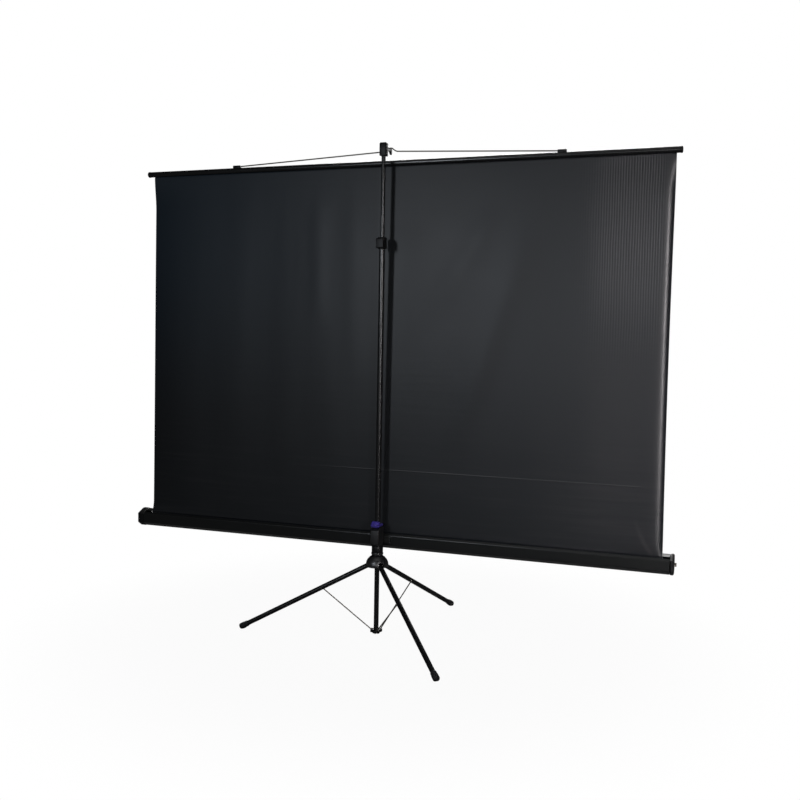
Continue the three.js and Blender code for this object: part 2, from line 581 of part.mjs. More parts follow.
const lobes = [];
const notches = [];
['a', 'b', 'c'].forEach((name, i) => {
  const azimuth = rad(LEG_AZIMUTH + 120 * i);
  const pinHalf = legR + 8;
  const atPivot = (geometry) => across(geometry).translate(PIVOT_RADIUS, 0, PIVOT_Z).rotateZ(azimuth);
  const slotHalfWidth = legR + 0.5;
  const slot = box(PIVOT_RADIUS - legR - 3.4, HUB_RADIUS + 20, -slotHalfWidth, slotHalfWidth,
    hubBottom - 10, PIVOT_Z + legR + 3.4);
  dome = cut(dome, slot.rotateZ(azimuth), atPivot(rod(2.6, -pinHalf, pinHalf, 16)));
  add(`leg_pivot_pin_${name}`, atPivot(rod(2.3, -pinHalf + 0.4, pinHalf - 0.4, 16)), steel);
  const tube = cut(lying(ring(legR - TUBE_WALL, legR, -7, legEnd, 28)),
    across(rod(2.6, -20, 20, 16)),
    across(rod(braceR + CLEAR, -20, 20, 16)).translate(BRACE_ALONG, 0, -BRACE_OFFSET));
  add(`leg_tube_${name}`, onLeg(tube, azimuth), gloss);
  const footR = FOOT_DIA / 2;
  const foot = onLeg(lying(turned([
    [legR + CLEAR, footStart], [legR + 1, footStart], [footR - 1, footStart + 3],
    [footR - 1, footStart + 9],
    [footR - 1.7, footStart + 10], [footR - 1.7, footStart + 12], [footR, footStart + 13],
    [footR, footStart + FOOT_LENGTH - 6], [footR - 1.5, footStart + FOOT_LENGTH - 2.5],
    [footR - 5, footStart + FOOT_LENGTH], [0.001, footStart + FOOT_LENGTH], [0.001, legEnd + CLEAR],
    [legR + CLEAR, legEnd + CLEAR]], 28)), azimuth);
  const floor = box(-2 * FOOT_RADIUS, 2 * FOOT_RADIUS, -2 * FOOT_RADIUS, 2 * FOOT_RADIUS, -80, 0);
  add(`leg_foot_${name}`, cut(foot, floor), rubber);

  // The upper end of the brace is hooked through the leg from its flank, the lower end sits in the plate
  const hook = new THREE.Vector3(BRACE_ALONG, 0, -BRACE_OFFSET)
    .applyAxisAngle(new THREE.Vector3(0, 1, 0), slope).add(new THREE.Vector3(PIVOT_RADIUS, 0, PIVOT_Z));
  const seat = new THREE.Vector3(ANCHOR_RADIUS, -ANCHOR_SIDE, anchorZ);
  const corner = hook.clone().setY(-hookFlank);
  const along = seat.clone().sub(corner).normalize();
  const bend = corner.clone().addScaledVector(along, 1.2 * braceR);
  const bracePath = [[hook.x, hookTip, hook.z], [hook.x, 0.9 * braceR - hookFlank, hook.z],
    bend.toArray(), seat.toArray()];
  const upright = new THREE.Vector3(-along.z, 0, along.x);
  add(`brace_wire_${name}`, wire(bracePath, braceR, 12, upright).rotateZ(azimuth), steel);

  const lobe = box(0, ANCHOR_RADIUS + 6, -ANCHOR_SIDE - 7.5, 4.5, PLATE_TOP - PLATE_THICK, PLATE_TOP);
  lobes.push(lobe.rotateZ(azimuth));
  const notch = box(rodR + 2.2, ANCHOR_RADIUS + 20, -ANCHOR_SIDE - braceR - 1.6, 1.6 + braceR - ANCHOR_SIDE,
    0, PLATE_TOP + 5);
  notches.push(notch.rotateZ(azimuth));
});
add('leg_hub_dome', dome, plastic);
const rodBottom = PLATE_TOP - PLATE_THICK + 1;
add('centre_rod', ring(rodR - TUBE_WALL, rodR, rodBottom, rodBottom + ROD_LENGTH), gloss);
add('brace_plate', cut(
  join(rod(rodR + 5, PLATE_TOP - PLATE_THICK - 2, PLATE_TOP, 32), ...lobes),
  rod(rodR + CLEAR, rodBottom - CLEAR, PLATE_TOP + 5, 32), ...notches), plastic);

export default model;
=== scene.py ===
# %% [markdown]
# # A tripod projection screen, finished in Blender
# A pull-up screen hangs from a mast on a folding tripod, and rolls down into a case. Its solids arrive as
# a fixed frame, already in place and in metres. This file gives each of them its finish, makes the cloth,
# which a solid can't show well, and sets up the camera and the light. Every later cell looks up the solids
# and the bodies read here.

# %% Load the frame
import json
import math

import bmesh
import bpy
from mathutils import Matrix, Vector, noise


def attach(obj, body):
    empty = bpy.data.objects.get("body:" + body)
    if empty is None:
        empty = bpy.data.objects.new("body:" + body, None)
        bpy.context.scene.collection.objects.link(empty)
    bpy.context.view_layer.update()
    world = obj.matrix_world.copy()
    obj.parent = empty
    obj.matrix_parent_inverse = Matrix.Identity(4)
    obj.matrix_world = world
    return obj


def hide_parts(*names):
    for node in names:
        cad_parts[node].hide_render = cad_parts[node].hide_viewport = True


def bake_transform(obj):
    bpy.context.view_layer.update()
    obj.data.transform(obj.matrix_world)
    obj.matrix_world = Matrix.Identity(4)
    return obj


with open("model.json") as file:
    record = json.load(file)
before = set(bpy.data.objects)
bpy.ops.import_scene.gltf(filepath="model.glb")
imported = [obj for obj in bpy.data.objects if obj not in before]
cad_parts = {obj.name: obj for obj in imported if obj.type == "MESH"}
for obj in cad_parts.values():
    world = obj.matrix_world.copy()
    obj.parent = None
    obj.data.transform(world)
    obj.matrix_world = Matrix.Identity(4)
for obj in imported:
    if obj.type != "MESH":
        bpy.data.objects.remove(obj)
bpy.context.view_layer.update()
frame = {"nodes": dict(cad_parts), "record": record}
body_of = {}
for body, nodes in frame["record"]["behaviour"]["bodies"].items():
    body_of.update({node: body for node in nodes})

# %% [markdown]
# ## Camera
# The screen is seen from behind, a little to one side and from about chest height. The place, turn and
# lens were worked out from the corners of the cloth, the ends of the bar and case, and the three feet.
# Building the turn from its three axes avoids any doubt about the order of angles.

# %% Place the camera
CAMERA_PLACE = Vector((-1.2814, 3.4440, 1.1466))
CAMERA_YAW = 0.3406
CAMERA_PITCH = -0.0639
CAMERA_ROLL = 0.0176
FOCAL_PIXELS = 948.87
IMAGE_PIXELS = 800
SENSOR_MM = 36.0

forward = Vector((math.sin(CAMERA_YAW) * math.cos(CAMERA_PITCH),
                  -math.cos(CAMERA_YAW) * math.cos(CAMERA_PITCH),
                  math.sin(CAMERA_PITCH)))
level = Vector((-math.cos(CAMERA_YAW), -math.sin(CAMERA_YAW), 0.0))
upright = level.cross(forward)
right = math.cos(CAMERA_ROLL) * level + math.sin(CAMERA_ROLL) * upright
above = math.cos(CAMERA_ROLL) * upright - math.sin(CAMERA_ROLL) * level
camera = bpy.data.objects.new("camera", bpy.data.cameras.new("camera"))
bpy.context.scene.collection.objects.link(camera)
turn = Matrix((right, above, -forward)).transposed().to_4x4()
camera.matrix_world = Matrix.Translation(CAMERA_PLACE) @ turn
camera.data.sensor_fit = "HORIZONTAL"
camera.data.sensor_width = SENSOR_MM
camera.data.lens = FOCAL_PIXELS / IMAGE_PIXELS * SENSOR_MM
camera.data.clip_start = 0.05
camera.data.clip_end = 60.0
bpy.context.scene.camera = camera
print("lens", round(camera.data.lens, 2), "mm")

# %% [markdown]
# ## Writing shaders as sums
# A finish is easier to read as arithmetic than as a list of links. Sock wraps one output socket, so
# that `0.3 + 0.1 * grain` adds the Math nodes by itself.


# %% Sock, an output that can be added and multiplied
class Sock:
    def __init__(self, recipe, socket):
        self.recipe = recipe
        self.socket = socket

    def math(self, operation, first, second):
        values = {0: first, 1: second}
        return self.recipe.add("ShaderNodeMath", {"operation": operation}, values).out(0)

    def __add__(self, other):
        return self.math("ADD", self, other)

    def __radd__(self, other):
        return self.math("ADD", other, self)

    def __sub__(self, other):
        return self.math("SUBTRACT", self, other)

    def __rsub__(self, other):
        return self.math("SUBTRACT", other, self)

    def __mul__(self, other):
        return self.math("MULTIPLY", self, other)

    def __rmul__(self, other):
        return self.math("MULTIPLY", other, self)

    def sine(self):
        return self.math("SINE", self, 0.0)

    def size(self):
        return self.math("ABSOLUTE", self, 0.0)

    def step(self, low, high):
        settings = {"interpolation_type": "SMOOTHSTEP"}
        values = {"Value": self, "From Min": low, "From Max": high, "To Min": 0.0, "To Max": 1.0}
        return self.recipe.add("ShaderNodeMapRange", settings, values).out(0)


print("Sock ready")

# %% [markdown]
# Recipe adds every other node. Its source says where a pattern is fixed: Object for rigid pieces, whose
# points never move in their own space, and UV for the cloth, so that its pattern stays on it while it
# stretches.


# %% Recipe, which adds nodes to one material
class Added:
    def __init__(self, recipe, node):
        self.recipe = recipe
        self.node = node

    def out(self, key):
        return Sock(self.recipe, self.node.outputs[key])


class Recipe:
    def __init__(self, tree, source="Object"):
        self.tree = tree
        self.source = source

    def add(self, kind, settings=None, values=None):
        node = self.tree.nodes.new(kind)
        for key, value in (settings or {}).items():
            setattr(node, key, value)
        for key, value in (values or {}).items():
            self.feed(node.inputs[key], value)
        return Added(self, node)

    def feed(self, socket, value):
        if isinstance(value, Sock):
            self.tree.links.new(value.socket, socket)
        else:
            socket.default_value = value

    def where(self):
        return self.add("ShaderNodeTexCoord").out(self.source)

    def place(self, scale):
        values = {"Vector": self.where(), "Scale": scale}
        return self.add("ShaderNodeMapping", None, values).out(0)

    def axes(self):
        split = self.add("ShaderNodeSeparateXYZ", None, {0: self.where()})
        return split.out(0), split.out(1), split.out(2)

    def noise(self, scale, detail=3.0, rough=0.5, stretch=(1.0, 1.0, 1.0)):
        values = {"Vector": self.place(stretch), "Scale": scale, "Detail": detail, "Roughness": rough}
        return self.add("ShaderNodeTexNoise", None, values).out(0)

    def mix(self, amount, first, second):
        settings = {"data_type": "RGBA"}
        return self.add("ShaderNodeMix", settings, {0: amount, 6: first, 7: second}).out(2)

    def bump(self, height, strength, distance):
        values = {"Height": height, "Strength": strength, "Distance": distance}
        return self.add("ShaderNodeBump", None, values).out(0)


def finish(name, source="Object"):
    material = bpy.data.materials.new(name)
    material.use_nodes = True
    recipe = Recipe(material.node_tree, source)
    shader = material.node_tree.nodes["Principled BSDF"]
    return material, recipe, shader


def shade(recipe, shader, values):
    for key, value in values.items():
        recipe.feed(shader.inputs[key], value)


print("Recipe ready")

# %% [markdown]
# ## Gloss paint on the tubes
# The mast, the legs and the top bar are steel tube in black enamel. Sprayed enamel is never quite flat,
# so a faint orange peel bends the long highlights, handling leaves the gloss uneven, and a little dust
# settles. The legs have a thinner, duller coat than the mast, so one function mixes both.


# %% Gloss black enamel
def enamel(name, rough, index):
    material, recipe, shader = finish(name)
    peel = recipe.noise(260.0, detail=2.0)
    handled = recipe.noise(9.0, detail=4.0, rough=0.6)
    dust = recipe.noise(1400.0, detail=2.0).step(0.62, 0.72)
    colour = recipe.mix(handled, (0.0028, 0.0030, 0.0034, 1.0), (0.0056, 0.0058, 0.0062, 1.0))
    colour = recipe.mix(dust * 0.15, colour, (0.05, 0.05, 0.052, 1.0))
    shade(recipe, shader, {
        "Base Color": colour, "Roughness": rough + 0.08 * handled + 0.12 * dust, "IOR": index,
        "Normal": recipe.bump(peel, strength=0.06, distance=0.0006)})
    return material


mast_paint = enamel("gloss_black_enamel", rough=0.22, index=1.66)
leg_paint = enamel("dull_black_enamel", rough=0.30, index=1.40)
print("made", mast_paint.name, "and", leg_paint.name)

# %% [markdown]
# ## Powder coat on the case
# The case and its bracket are rolled steel with a satin powder coat, which shows as a fine, even grain.
# Carrying rubs it along its length, so the rubbed patches are a noise that is stretched along the case.

# %% Satin powder coat
powder_coat, recipe, shader = finish("satin_powder_coat")
grain = recipe.noise(1500.0, detail=2.0, rough=0.6)
cloud = recipe.noise(5.0, detail=4.0, rough=0.55)
rub = recipe.noise(26.0, detail=5.0, rough=0.65, stretch=(0.15, 1.0, 1.0)).step(0.6, 0.8)
colour = recipe.mix(cloud, (0.0034, 0.0042, 0.0042, 1.0), (0.0056, 0.0064, 0.0064, 1.0))
shade(recipe, shader, {
    "Base Color": colour, "Roughness": 0.26 + 0.08 * cloud + 0.05 * grain - 0.05 * rub, "IOR": 1.55,
    "Normal": recipe.bump(grain, strength=0.22, distance=0.0003)})
print("made", powder_coat.name)

# %% [markdown]
# ## Moulded plastic
# The hub, carriage, collar, mast head and all the caps are black moulded plastic. Most of it comes from
# a spark-eroded tool, which leaves a very fine dimple. The dome of the hub comes from a smoother tool
# and shows a wide, clear highlight, and the carriage, where hands take hold, has been rubbed to a
# satin.


# %% Three black plastics
def moulded(name, rough, index, grain):
    material, recipe, shader = finish(name)
    dimple = recipe.noise(2300.0, detail=1.0)
    patch = recipe.noise(30.0, detail=4.0, rough=0.6)
    scuff = recipe.noise(380.0, detail=4.0, rough=0.7).step(0.60, 0.78)
    colour = recipe.mix(patch, (0.0034, 0.0035, 0.0039, 1.0), (0.0062, 0.0063, 0.0067, 1.0))
    shade(recipe, shader, {
        "Base Color": colour, "Roughness": rough + 0.12 * patch + 0.08 * scuff, "IOR": index,
        "Normal": recipe.bump(dimple, strength=grain, distance=0.0002)})
    return material


black_plastic = moulded("black_moulded_plastic", rough=0.38, index=1.36, grain=0.15)
hub_plastic = moulded("polished_hub_plastic", rough=0.30, index=2.00, grain=0.03)
carriage_plastic = moulded("rubbed_carriage_plastic", rough=0.42, index=1.65, grain=0.10)
print("made", black_plastic.name, hub_plastic.name, carriage_plastic.name)

# %% [markdown]
# ## Violet plastic
# The release button is the one coloured piece, so that the hand finds it. It is a small moulding,
# coloured right through, with the same fine dimple as the black pieces and more gloss.

# %% Violet button plastic
violet_plastic, recipe, shader = finish("violet_button_plastic")
patch = recipe.noise(60.0, detail=3.0)
dimple = recipe.noise(2100.0, detail=1.0)
colour = recipe.mix(patch, (0.045, 0.030, 0.29, 1.0), (0.065, 0.046, 0.35, 1.0))
shade(recipe, shader, {
    "Base Color": colour, "Roughness": 0.26 + 0.10 * patch, "IOR": 1.6,
    "Normal": recipe.bump(dimple, strength=0.12, distance=0.0002)})
print("made", violet_plastic.name)

# %% [markdown]
# ## Foot rubber
# The feet are pushed-on rubber caps. Rubber is matt and grainy, and where a foot drags over the floor
# it turns grey, so a coarse noise mixes in a paler colour.

# %% Foot rubber
foot_rubber, recipe, shader = finish("foot_rubber")
grain = recipe.noise(900.0, detail=3.0, rough=0.7)
scuff = recipe.noise(120.0, detail=5.0, rough=0.7).step(0.55, 0.8)
colour = recipe.mix(scuff * 0.5, (0.008, 0.008, 0.0085, 1.0), (0.028, 0.027, 0.026, 1.0))
shade(recipe, shader, {
    "Base Color": colour, "Roughness": 0.62 + 0.2 * grain, "IOR": 1.5,
    "Normal": recipe.bump(grain, strength=0.3, distance=0.0004)})
print("made", foot_rubber.name)

# %% [markdown]
# ## Drawn steel
# The bail, the braces, the pins and the roller are bare steel. Wire is drawn through a die, which
# leaves fine streaks, and handling tarnishes it to a warm grey.

# %% Drawn steel
drawn_steel, recipe, shader = finish("drawn_steel")
streak = recipe.noise(700.0, detail=3.0, rough=0.6, stretch=(0.06, 1.0, 1.0))
tarnish = recipe.noise(45.0, detail=4.0, rough=0.6)
colour = recipe.mix(tarnish, (0.26, 0.245, 0.215, 1.0), (0.42, 0.40, 0.36, 1.0))
shade(recipe, shader, {
    "Base Color": colour, "Metallic": 0.9 + 0.1 * tarnish, "Roughness": 0.28 + 0.16 * streak,
    "Normal": recipe.bump(streak, strength=0.1, distance=0.0002)})
print("made", drawn_steel.name)

# %% [markdown]
# ## The back of the cloth
# The cloth is vinyl on a woven base. Its back, which the photograph shows, is charcoal with a soft sheen.
# Fine upright ripples from the roller run through one side, a weld line crosses it where the black drop on
# the front begins, a crease rises from the lower corner, and a dark strip shows where the cloth enters the
# slot. Light is also painted into the colour. The -x side and the ripple zone are painted paler as sheen,
# and the upper cloth towards +x gets a painted cool tint. The ripples carry painted highlights and shade,
# and the crease and a short fold below the weld carry painted highlights. Each of these is a mask from 0
# to 1, made of smooth steps along x and z, and the masks are then added up.

# %% Charcoal back
PICTURE_FOOT = 0.639
RIB_WAVES = 692.0
RIB_WANDER = 5.0
CREASE_X = 0.985
CREASE_Z = 0.452
CREASE_ACROSS = 0.854
CREASE_ALONG = 0.52
FOLD_Z = 0.525
# The next three colours: a paler one for painted sheen and highlights, a blue one for painted cool light,
# and the weld's paler tone, which also paints the fold's highlight.
PAINTED_SHEEN = (0.0300, 0.0275, 0.0300, 1.0)
PAINTED_COOL_LIGHT = (0.0075, 0.0160, 0.0260, 1.0)
WELD_TONE_AND_FOLD_HIGHLIGHT = (0.0300, 0.0310, 0.0310, 1.0)
cloth_back, recipe, shader = finish("charcoal_cloth_back", "UV")
x, z = recipe.axes()[:2]
weave = recipe.noise(1800.0, detail=2.0, rough=0.6)
drift = recipe.noise(2.4, detail=3.0, rough=0.55, stretch=(1.6, 0.35, 1.0))
wander = recipe.noise(9.0, detail=2.0, rough=0.5, stretch=(1.0, 0.4, 1.0))
cloud = recipe.noise(3.0, detail=4.0, rough=0.6)
streak = recipe.noise(7.0, detail=3.0, rough=0.55, stretch=(0.4, 7.0, 1.0))
# Painted sheen: the colour turns paler towards -x, the right-hand side as the camera sees it.
painted_sheen_side = 1.0 - x.step(-0.92, -0.60)
rib_zone = (1.0 - x.step(-0.86, -0.68)) * x.step(-1.040, -0.995)
rib_zone = rib_zone * z.step(0.95, 1.50)
rib = (x * RIB_WAVES + RIB_WANDER * wander).sine() * rib_zone
weld = 1.0 - (z - PICTURE_FOOT).size().step(0.0006, 0.0030)
weld = weld * (1.0 - x.step(0.02, 0.36)) * x.step(-0.99, -0.95)
run = (x + CREASE_X) * -CREASE_ALONG + (z - CREASE_Z) * -CREASE_ACROSS
off = (x + CREASE_X) * CREASE_ACROSS + (z - CREASE_Z) * -CREASE_ALONG
off = off + (run - 0.02) * (run - 0.02) * 1.6
crease = (1.0 - off.size().step(0.0, 0.014)) * run.step(-0.10, 0.03) * (1.0 - run.step(0.05, 0.07))
fold = 1.0 - (z - FOLD_Z).size().step(0.0005, 0.0035)
fold = fold * (1.0 - x.step(-0.70, -0.67)) * x.step(-0.84, -0.80)
# Painted light: the upper cloth towards +x gets a blue tint that stands for cool light falling on it.
cool = x.step(-0.20, 0.90) * z.step(0.70, 1.60)
dive = 1.0 - z.step(0.3915, 0.3985)
hem = (1.0 - x.step(-1.048, -0.998)) * (1.0 - z.step(1.55, 1.75))
colour = recipe.mix(cloud, (0.0046, 0.0062, 0.0084, 1.0), (0.0058, 0.0072, 0.0092, 1.0))
colour = recipe.mix(cool, colour, PAINTED_COOL_LIGHT)
# These mix in the paler colour: painted sheen on the -x side and over the ripple zone, painted highlights
# and shade along each ripple, a painted highlight on the crease, and, low down, upright streaks made
# lighter and darker.
light = painted_sheen_side * 0.10 + rib_zone * 0.03 + rib * 0.22 + crease * 0.60
light = light + (streak - 0.5) * 0.80 * (1.0 - z.step(0.55, 0.90))
colour = recipe.mix(light, colour, PAINTED_SHEEN)
# The weld line gets its paler tone here, and the short fold below it gets a painted highlight.
colour = recipe.mix(weld * 0.5 + fold * 0.1, colour, WELD_TONE_AND_FOLD_HIGHLIGHT)
relief = weave * 0.10 + rib * 0.80 + drift * 2.6 + streak * 0.5
relief = relief + weld * 0.8 + crease * 0.8 + fold * 0.25 - dive * 4.0
rough = 0.40 + 0.06 * cloud + 0.04 * weave - 0.12 * rib - 0.05 * hem
shade(recipe, shader, {
    "Base Color": colour, "Roughness": rough, "IOR": 1.5,
    "Normal": recipe.bump(relief, strength=0.5, distance=0.0010)})
print("made", cloth_back.name)

# %% [markdown]
# ## The front of the cloth
# The front faces away from the camera and is what such screens have: a matt white picture area with a
# black border at the sides and the top, and a black drop below it. Matt white scatters the picture to
# every seat, so it is rough, with a fine weave. Steps just over a millimetre wide keep the printed
# edges crisp.

# %% White front
PICTURE_HALF = 1.016
PICTURE_TOP = 1.782
PRINT_EDGE = 0.0006
cloth_front, recipe, shader = finish("matt_white_cloth_front", "UV")
x, z = recipe.axes()[:2]
weave = recipe.noise(1500.0, detail=2.0, rough=0.6)
cloud = recipe.noise(2.0, detail=3.0, rough=0.5)
side = x.size().step(PICTURE_HALF - PRINT_EDGE, PICTURE_HALF + PRINT_EDGE)
foot = 1.0 - z.step(PICTURE_FOOT - PRINT_EDGE, PICTURE_FOOT + PRINT_EDGE)
head = z.step(PICTURE_TOP - PRINT_EDGE, PICTURE_TOP + PRINT_EDGE)
black = 1.0 - (1.0 - side) * (1.0 - foot) * (1.0 - head)
white = recipe.mix(cloud, (0.77, 0.77, 0.765, 1.0), (0.82, 0.82, 0.815, 1.0))
colour = recipe.mix(black, white, (0.014, 0.014, 0.015, 1.0))
shade(recipe, shader, {
    "Base Color": colour, "Roughness": 0.82 - 0.2 * black, "IOR": 1.45,
    "Normal": recipe.bump(weave, strength=0.18, distance=0.0003)})
print("made", cloth_front.name)

# %% [markdown]
# ## Dressing the solids
# The solids have the right shapes, but their edges are razor sharp and their curves show facets. A
# dressed copy welds the loose triangles, rounds the hard edges with a bevel and shades the rest
# smoothly. Edges that turn by more than angle and less than most degrees get the bevel, and faces
# larger than panel, in square metres, stay flat. The copy then replaces the solid, which stays in the
# model for collision.


# %% A helper that welds, bevels and smooths a copy of a node
SAME_POINT = 4e-6
FLAT_ENOUGH = math.radians(0.6)


def dress(node, material, edge=0.0, angle=32.0, most=180.0, panel=1.0):
    mesh = frame["nodes"][node].data.copy()
    mesh.name = node + "_dressed"
    bm = bmesh.new()
    bm.from_mesh(mesh)
    bmesh.ops.remove_doubles(bm, verts=bm.verts[:], dist=SAME_POINT)
    bmesh.ops.dissolve_limit(bm, angle_limit=FLAT_ENOUGH, use_dissolve_boundaries=False,
                             verts=bm.verts[:], edges=bm.edges[:])
    limit = math.radians(angle)
    hard = [e for e in bm.edges
            if len(e.link_faces) == 2 and limit < e.calc_face_angle() < math.radians(most)]
    if edge > 0.0:
        bmesh.ops.bevel(bm, geom=hard, offset=edge, offset_type="OFFSET", affect="EDGES", segments=2,
                        profile=0.5, material=-1, clamp_overlap=True)
    for face in bm.faces:
        face.smooth = face.calc_area() < panel
        face.material_index = 0
    for e in bm.edges:
        e.smooth = len(e.link_faces) != 2 or e.calc_face_angle() < limit
    bm.to_mesh(mesh)
    bm.free()
    mesh.materials.clear()
    mesh.materials.append(material)
    piece = bpy.data.objects.new(node + "_dressed", mesh)
    bpy.context.scene.collection.objects.link(piece)
    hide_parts(node)
    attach(piece, body_of[node])
    return piece


print("dress ready")

# %% [markdown]
# ## Tubes, case and moulded pieces
# Tubes and wires keep their sharp cut ends. Moulded and rolled pieces get an edge radius, each at the
# size that the real process leaves: about half a millimetre on small plastic pieces, one on the end
# caps, and almost two on the carriage and on the folds of the case.

# %% Dress every hard piece
SMALL_MOULDINGS = (
    "mast_lock_collar", "mast_lock_lever", "mast_head", "carriage_bush",
    "bar_cap_left", "bar_cap_right", "bail_clip_left", "bail_clip_right",
    "mast_guide_bush", "roller_plug_left", "roller_plug_right", "brace_plate")
BARE_STEEL = ("bail_wire", "lever_pin", "pivot_washer", "case_pivot_pin", "spring_pin", "roller_tube")
for node in ("outer_mast_tube", "inner_mast_tube", "top_bar", "centre_rod"):
    dress(node, mast_paint)
for leg in ("a", "b", "c"):
    dress("leg_tube_" + leg, leg_paint)
    dress("leg_foot_" + leg, foot_rubber, edge=0.0004)
    dress("brace_wire_" + leg, drawn_steel)
    dress("leg_pivot_pin_" + leg, drawn_steel, edge=0.0003)
dress("case_shell", powder_coat, edge=0.0016, angle=20.0, most=80.0, panel=0.010)
dress("case_bracket", powder_coat, edge=0.0004)
for node in ("case_cap_left", "case_cap_right"):
    dress(node, black_plastic, edge=0.0009, angle=14.0)
for node in SMALL_MOULDINGS:
    dress(node, black_plastic, edge=0.0005)
dress("carriage_body", carriage_plastic, edge=0.0018)
for node in ("leg_hub_dome", "hub_neck_ring"):
    dress(node, hub_plastic, edge=0.0005)
dress("release_button", violet_plastic, edge=0.0009, angle=25.0)
for node in BARE_STEEL:
    dress(node, drawn_steel)
for number in (1, 2, 3, 4):
    dress("bracket_rivet_" + str(number), powder_coat)

# %% [markdown]
# ## The shape of the cloth
# A hanging screen is pulled flat by its own roller, but never perfectly. Its edges curl, shallow waves
# run down from the bar, and a few longer folds slant across it. Each is a small height off the flat
# sheet, so the shape is a sum: noise for the waves, fading curves near the edges, and a soft ridge
# along each fold.

# %% Waves, curls and folds
CLOTH_HALF = 1.0535
CLOTH_SHIFT = -0.0045
CLOTH_THICK = 0.0004
CLOTH_HEAD = Vector((0.0, -0.0060, 1.8110))
CLOTH_FOOT = Vector((0.0, 0.0126, 0.3685))
FOLDS = (
    {"top": (-0.520, 1.500), "end": (-0.285, 0.760), "width": 0.052, "height": 0.0038},
    {"top": (-0.405, 1.610), "end": (-0.175, 1.240), "width": 0.048, "height": 0.0026},
    {"top": (0.300, 1.680), "end": (0.294, 1.200), "width": 0.034, "height": 0.0013},
    {"top": (0.150, 1.720), "end": (0.136, 0.820), "width": 0.045, "height": 0.0012})


def ramp(value, low, high):
    share = min(1.0, max(0.0, (value - low) / (high - low)))
    return share * share * (3.0 - 2.0 * share)


def folds(x, z):
    rise = 0.0
    for fold in FOLDS:
        x_top, z_top = fold["top"]
        x_end, z_end = fold["end"]
        span = math.hypot(x_end - x_top, z_end - z_top)
        run = ((x - x_top) * (x_end - x_top) + (z - z_top) * (z_end - z_top)) / span ** 2
        off = ((x - x_top) * (z_end - z_top) - (z - z_top) * (x_end - x_top)) / span
        ends = ramp(run, -0.15, 0.25) * (1.0 - ramp(run, 0.60, 1.15))
        rise += fold["height"] * ends * math.exp(-(off / fold["width"]) ** 2)
    return rise


def sag(x, share):
    free = math.sin(math.pi * share) ** 0.7
    wave = noise.noise(Vector((x * 2.3, share * 0.8, 0.3))) * 0.0045
    wave += noise.noise(Vector((x * 7.0, share * 1.1, 4.0))) * 0.0016
    near = CLOTH_HALF + x
    far = CLOTH_HALF - x
    held = ramp(share, 0.0, 0.05) * (1.0 - ramp(share, 0.90, 1.0))
    curl = 0.0120 * math.exp(-near / 0.080) - 0.0130 * math.exp(-near / 0.020)
    curl -= 0.0090 * math.exp(-near / 0.008)
    curl -= 0.0125 * math.exp(-far / 0.085)
    return free * wave + held * curl


print("cloth shape ready,", len(FOLDS), "folds")

# %% [markdown]
# ## The sheet
# A fine grid takes that shape, with its columns closer together near the edges, where the curl is
# tight. Pull from the roller draws the edges in a little at mid height. Solidify gives the sheet its
# two faces, which carry the two finishes, and each point keeps its flat place in metres as its UV.

# %% Make the whole sheet
COLUMNS = 220
ROWS = 150
CROWDING = 1.5
NECK_POWER = 7
NECK_LEFT = 0.0005
NECK_RIGHT = 0.0040
BACK, FRONT = 0, 1
bm = bmesh.new()
bmesh.ops.create_grid(bm, x_segments=COLUMNS, y_segments=ROWS, size=1.0)
for vert in bm.verts:
    share = (vert.co.y + 1.0) / 2.0
    x = math.copysign(1.0 - (1.0 - abs(vert.co.x)) ** CROWDING, vert.co.x) * CLOTH_HALF
    most = NECK_LEFT if x > 0.0 else NECK_RIGHT
    neck = math.sin(math.pi * share) * (x / CLOTH_HALF) ** NECK_POWER * most
    on_line = CLOTH_FOOT.lerp(CLOTH_HEAD, share)
    bulge = sag(x, share) + folds(x, on_line.z)
    vert.co = Vector((x + CLOTH_SHIFT - neck, on_line.y + bulge, on_line.z))
bmesh.ops.recalc_face_normals(bm, faces=bm.faces[:])
bmesh.ops.solidify(bm, geom=bm.faces[:], thickness=CLOTH_THICK)
bm.normal_update()
for face in bm.faces:
    face.smooth = True
    face.material_index = BACK if face.normal.y > -0.2 else FRONT
flat = bm.loops.layers.uv.new("flat_metres")
for face in bm.faces:
    for corner in face.loops:
        corner[flat].uv = (corner.vert.co.x, corner.vert.co.z)
print("cloth grid", len(bm.faces), "faces")

# %% [markdown]
# ## Two strips, joined at the weld
# The drop below the weld line is a strip of its own, so the sheet is cut there. Neither strip is tied to a
# body here. The cut is closed again, so that each strip is a whole sheet, and its edges are marked sharp,
# so that no shading shows.


# %% Cut the cloth at the weld
WELD_Z = PICTURE_FOOT


def cut_cloth(whole, name, above):
    part = whole.copy()
    everything = part.verts[:] + part.edges[:] + part.faces[:]
    cut = bmesh.ops.bisect_plane(part, geom=everything, dist=1e-6, plane_co=(0.0, 0.0, WELD_Z),
                                 plane_no=(0.0, 0.0, 1.0), clear_inner=above, clear_outer=not above)
    edges = [e for e in cut["geom_cut"] if isinstance(e, bmesh.types.BMEdge)]
    lines = [e for e in edges if e.calc_length() > 1.5 * CLOTH_THICK]
    closing = bmesh.ops.bridge_loops(part, edges=lines)
    for side in closing["faces"]:
        side.smooth = False
    for edge in edges:
        edge.smooth = False
    bmesh.ops.recalc_face_normals(part, faces=part.faces[:])
    mesh = bpy.data.meshes.new(name)
    part.to_mesh(mesh)
    part.free()
    mesh.materials.append(cloth_back)
    mesh.materials.append(cloth_front)
    piece = bpy.data.objects.new(name, mesh)
    bpy.context.scene.collection.objects.link(piece)
    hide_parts("screen_cloth")
    return piece


hung_cloth = cut_cloth(bm, "hung_cloth", True)
drop_cloth = cut_cloth(bm, "drop_cloth", False)
bm.free()
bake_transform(hung_cloth)
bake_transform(drop_cloth)

